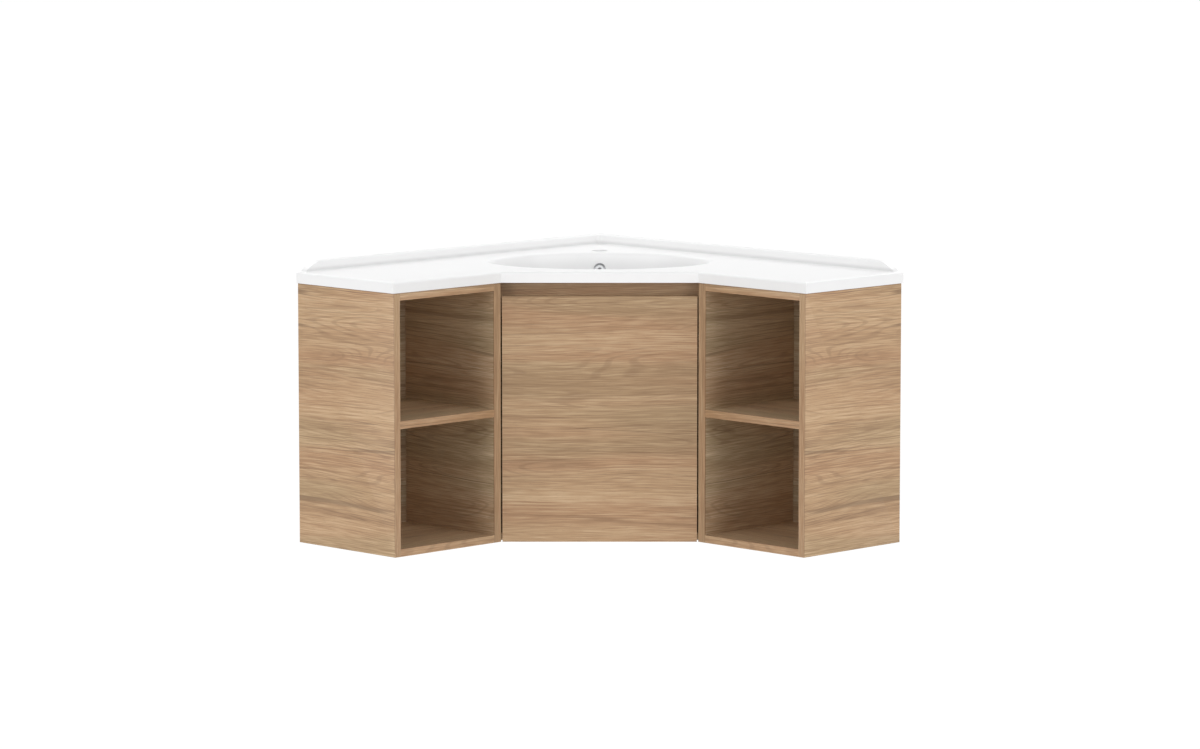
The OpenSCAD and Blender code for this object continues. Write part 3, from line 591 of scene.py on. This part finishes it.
def turned(name, outline, steps=72):
    """A piece turned on a lathe, about Z. Its outline is (radius, height) in millimetres."""
    bpy.ops.object.select_all(action="DESELECT")
    bpy.ops.mesh.primitive_plane_add(size=MM)
    piece = bpy.context.object
    piece.name = name
    bpy.ops.object.mode_set(mode="EDIT")
    bpy.ops.mesh.select_all(action="SELECT")
    bpy.ops.mesh.merge(type="CENTER")
    bpy.ops.transform.translate(value=(outline[0][0] * MM, 0, outline[0][1] * MM))
    for (r0, z0), (r1, z1) in zip(outline, outline[1:]):
        step = {"value": ((r1 - r0) * MM, 0, (z1 - z0) * MM)}
        bpy.ops.mesh.extrude_region_move(TRANSFORM_OT_translate=step)
    bpy.ops.mesh.select_all(action="SELECT")
    bpy.ops.mesh.spin(steps=steps, angle=2 * math.pi, center=(0, 0, 0), axis=(0, 0, 1))
    bpy.ops.mesh.select_all(action="SELECT")
    bpy.ops.mesh.remove_doubles(threshold=0.005 * MM)
    bpy.ops.mesh.normals_make_consistent(inside=False)
    bpy.ops.object.mode_set(mode="OBJECT")
    return piece


def seat(piece, place, along=(0, 0, 1)):
    """Stands a piece on that place, its Z turned to point along, and leaves its object at the origin."""
    piece.rotation_mode = "QUATERNION"
    piece.rotation_quaternion = Vector((0, 0, 1)).rotation_difference(Vector(along))
    piece.location = place
    hold(piece)
    bpy.ops.object.transform_apply(location=True, rotation=True, scale=True)


def joined(parts, name):
    """Makes one object of several."""
    bpy.ops.object.select_all(action="DESELECT")
    for part in parts:
        part.select_set(True)
    bpy.context.view_layer.objects.active = parts[0]
    bpy.ops.object.join()
    parts[0].name = name
    return parts[0]


def solids(node):
    """The separate solids in a CAD node, each as a list of its points."""
    mesh = nodes[node].data
    keys = [tuple(round(c, 6) for c in v.co) for v in mesh.vertices]
    owner = {key: key for key in keys}

    def head(key):
        while owner[key] != key:
            key = owner[key]
        return key

    for face in mesh.polygons:
        first, second, third = (head(keys[v]) for v in face.vertices)
        owner[second] = first
        owner[head(third)] = first
    groups = {}
    for key in owner:
        groups.setdefault(head(key), []).append(Vector(key))
    return list(groups.values())


def middle_line(points, along):
    """Where a round solid starts and ends on its own axis, and its radius."""
    along = Vector(along).normalized()
    across = along.orthogonal().normalized()
    third = along.cross(across)

    def reach(axis):
        dots = [p.dot(axis) for p in points]
        return min(dots), max(dots)

    middle = sum((axis * sum(reach(axis)) / 2 for axis in (across, third)), Vector())
    low, high = reach(along)
    left, right = reach(across)
    return middle + along * low, middle + along * high, (right - left) / 2


def stand_for(piece, node, finish, smooth=35):
    """Gives a new piece its finish, and puts it in the place of a CAD node."""
    hold(piece)
    bpy.ops.object.shade_smooth_by_angle(angle=math.radians(smooth))
    piece.data.materials.clear()
    piece.data.materials.append(MATERIALS[finish])
    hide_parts(node)
    (body,) = body_of(nodes[node])
    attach(piece, body)


# ------------------------------------------------------------------ chrome, buffers and screws

# which way the heads of the screws in the cabinet's two sides face
INTO_CABINET = {
    "right": (-math.sqrt(0.5), math.sqrt(0.5), 0),
    "left": (math.sqrt(0.5), math.sqrt(0.5), 0),
}
# a cross recess: reach and width as a share of the head's radius, and depth in millimetres
CROSS_REACH = 0.62
CROSS_WIDTH = 0.2
CROSS_DEPTH = 1.3


def make_overflow_ring():
    """A ring with a rolled rim, on a brighter tube that goes into the hole and has a lip at its far end."""
    skin = nodes["overflow_ring"].data
    facing = sum((f.normal * f.area for f in skin.polygons if f.normal.y < -0.9), Vector()).normalized()
    (points,) = solids("overflow_ring")
    foot, face, radius = middle_line(points, facing)
    edge, deep = radius / MM, (face - foot).length / MM
    bore, tube = edge - 3.7, edge - 2.2
    rim, bend, lip = 1.1, 0.9, 3.6
    outline = [(tube, 0), (tube, deep - 2), (edge - 0.25, deep - 2)]
    outline += arc((edge - rim, deep - rim), rim, -20, 120, 8)
    outline += [(edge - 2.4, deep - 0.75), (bore + bend, deep - 1.1)]
    outline += arc((bore + bend, deep - 2.0), bend, 90, 180, 5)
    outline += [(bore, 1.8), (bore - 0.5, 1.2), (lip + 0.4, 1), (lip, 0.5), (lip + 0.4, 0), (tube, 0)]
    piece = turned("overflow_ring_rolled", outline)
    inside = [face.index for face in piece.data.polygons if face.center.xy.length < (bore + 0.1) * MM]
    seat(piece, foot, facing)
    stand_for(piece, "overflow_ring", "satin steel")
    piece.data.materials.append(MATERIALS["bright steel"])
    for number in inside:
        piece.data.polygons[number].material_index = 1


def make_waste_plug():
    """A low domed cap with a rounded edge, on its stem."""
    (points,) = solids("waste_plug")
    foot, crown, radius = middle_line(points, (0, 0, 1))
    edge, high = radius / MM, (crown - foot).length / MM
    stem, under, rises = 4, high - 3, 8
    outline = [(0, 0), (stem - 0.6, 0), (stem, 0.6), (stem, under), (edge - 1, under)]
    outline += arc((edge - 0.8, under + 0.8), 0.8, -90, 30, 5) + [(edge - 1, high - 1.9)]
    outline += [((edge - 2) * i / rises, high - 1.7 * (i / rises) ** 2.6) for i in range(rises, -1, -1)]
    piece = turned("waste_plug_domed", outline, 96)
    seat(piece, foot)
    stand_for(piece, "waste_plug", "chrome", 50)


def make_buffers():
    """Clear domes that the closing door lands on."""
    parts = []
    for points in solids("door_buffers"):
        foot, crown, radius = middle_line(points, (0, 1, 0))
        edge, high = radius / MM, (crown - foot).length / MM
        dome = edge * 0.8
        outline = [(0, 0), (edge - 0.3, 0), (edge, 0.3)]
        outline += [(x, high - dome + y * 0.8) for x, y in arc((0, 0), edge, 0, 90, 6)]
        piece = turned("door_buffer", outline, 40)
        seat(piece, foot, (0, 1, 0))
        parts.append(piece)
    stand_for(joined(parts, "door_buffers_domed"), "door_buffers", "clear", 50)


def sink_cross(screw, top, radius):
    """Sinks a cross recess into a screw's head with a tapered blade, once each way."""
    bpy.ops.object.select_all(action="DESELECT")
    bpy.ops.mesh.primitive_cube_add(size=2 * MM, location=(0, 0, 0))
    blade = bpy.context.object
    bpy.ops.object.mode_set(mode="EDIT")
    bpy.ops.mesh.select_all(action="SELECT")
    bpy.ops.transform.resize(value=(radius * CROSS_REACH, radius * CROSS_WIDTH / 2, CROSS_DEPTH))
    bpy.ops.mesh.select_all(action="DESELECT")
    bpy.ops.object.mode_set(mode="OBJECT")
    for vertex in blade.data.vertices:
        vertex.select = vertex.co.z < 0
    bpy.ops.object.mode_set(mode="EDIT")
    bpy.ops.transform.resize(value=(0.3, 0.6, 1))
    bpy.ops.object.mode_set(mode="OBJECT")
    for turn in (0, 90):
        blade.rotation_euler = (0, 0, math.radians(turn))
        blade.location = (0, 0, top * MM)
        hold(screw)
        bpy.ops.object.modifier_add(type="BOOLEAN")
        cut = screw.modifiers[-1]
        cut.operation = "DIFFERENCE"
        cut.object = blade
        cut.solver = "EXACT"
        bpy.ops.object.modifier_apply(modifier=cut.name)
    hold(blade)
    bpy.ops.object.delete()


def make_screws(node, heads_face, finish, sunk=False):
    """One screw, copied to each place in the node. The head is domed, or flat where it is sunk."""
    places = [middle_line(points, heads_face) for points in solids(node)]
    foot, crown, radius = places[0]
    long, head = (crown - foot).length / MM, radius / MM
    shank = head - 2.5 if sunk else head - 1.5
    outline = [(0, 0), (shank * 0.35, 0.8), (shank, 3.5)]
    if sunk:
        outline += [(shank, long - 3), (head - 0.2, long - 0.35), (head - 0.2, long - 0.1)]
        outline += [(head - 0.4, long), (0, long)]
    else:
        outline += [(shank, long - 2), (head - 0.2, long - 2)]
        outline += arc((head - 0.45, long - 1.55), 0.45, -50, 20, 3)
        outline += [(head * out, long - 1.25 * out ** 2.4) for out in (0.85, 0.65, 0.4, 0.2, 0)]
    screw = turned(node + "_crossed", outline, 40)
    sink_cross(screw, long, head)
    parts = []
    for foot, crown, radius in places:
        part = screw.copy()
        part.data = screw.data.copy()
        bpy.context.scene.collection.objects.link(part)
        seat(part, foot, heads_face)
        parts.append(part)
    hold(screw)
    bpy.ops.object.delete()
    stand_for(joined(parts, node + "_crossed"), node, finish)


def make_fittings():
    make_overflow_ring()
    make_waste_plug()
    make_buffers()
    make_screws("hinge_cup_screws", (0, 1, 0), "nickel")
    make_screws("hinge_plate_screws", INTO_CABINET["right"], "nickel")
    make_screws("hinge_arm_screws", INTO_CABINET["right"], "nickel")
    make_screws("right_tie_screws", INTO_CABINET["right"], "zinc", sunk=True)
    make_screws("left_tie_screws", INTO_CABINET["left"], "zinc", sunk=True)


# ------------------------------------------------------------------ the scene

set_camera()
set_world()
set_floor()
set_lamps()

MATERIALS = {
    "chrome": plain_metal("chrome", (0.82, 0.83, 0.85, 1), 0.06),
    "satin steel": plain_metal("satin steel", (0.36, 0.365, 0.375, 1), 0.22),
    "bright steel": plain_metal("bright steel", (0.8, 0.81, 0.82, 1), 0.3),
    "nickel": plain_metal("nickel plate", (0.66, 0.65, 0.62, 1), 0.24),
    "zinc": plain_metal("zinc plate", (0.6, 0.61, 0.63, 1), 0.35),
    "rubber": plain_rubber("black rubber", colour(38, 38, 38), 0.7),
    "clear": plain_rubber("clear rubber", colour(206, 208, 206), 0.3),
    "grey plastic": plain_rubber("grey plastic", colour(190, 190, 188), 0.45),
    "beech": beech(),
}
dress_modules()
dress_cabinet()
dress_fittings()
dress_castings()
make_fittings()

bpy.context.scene.view_settings.view_transform = "Standard"
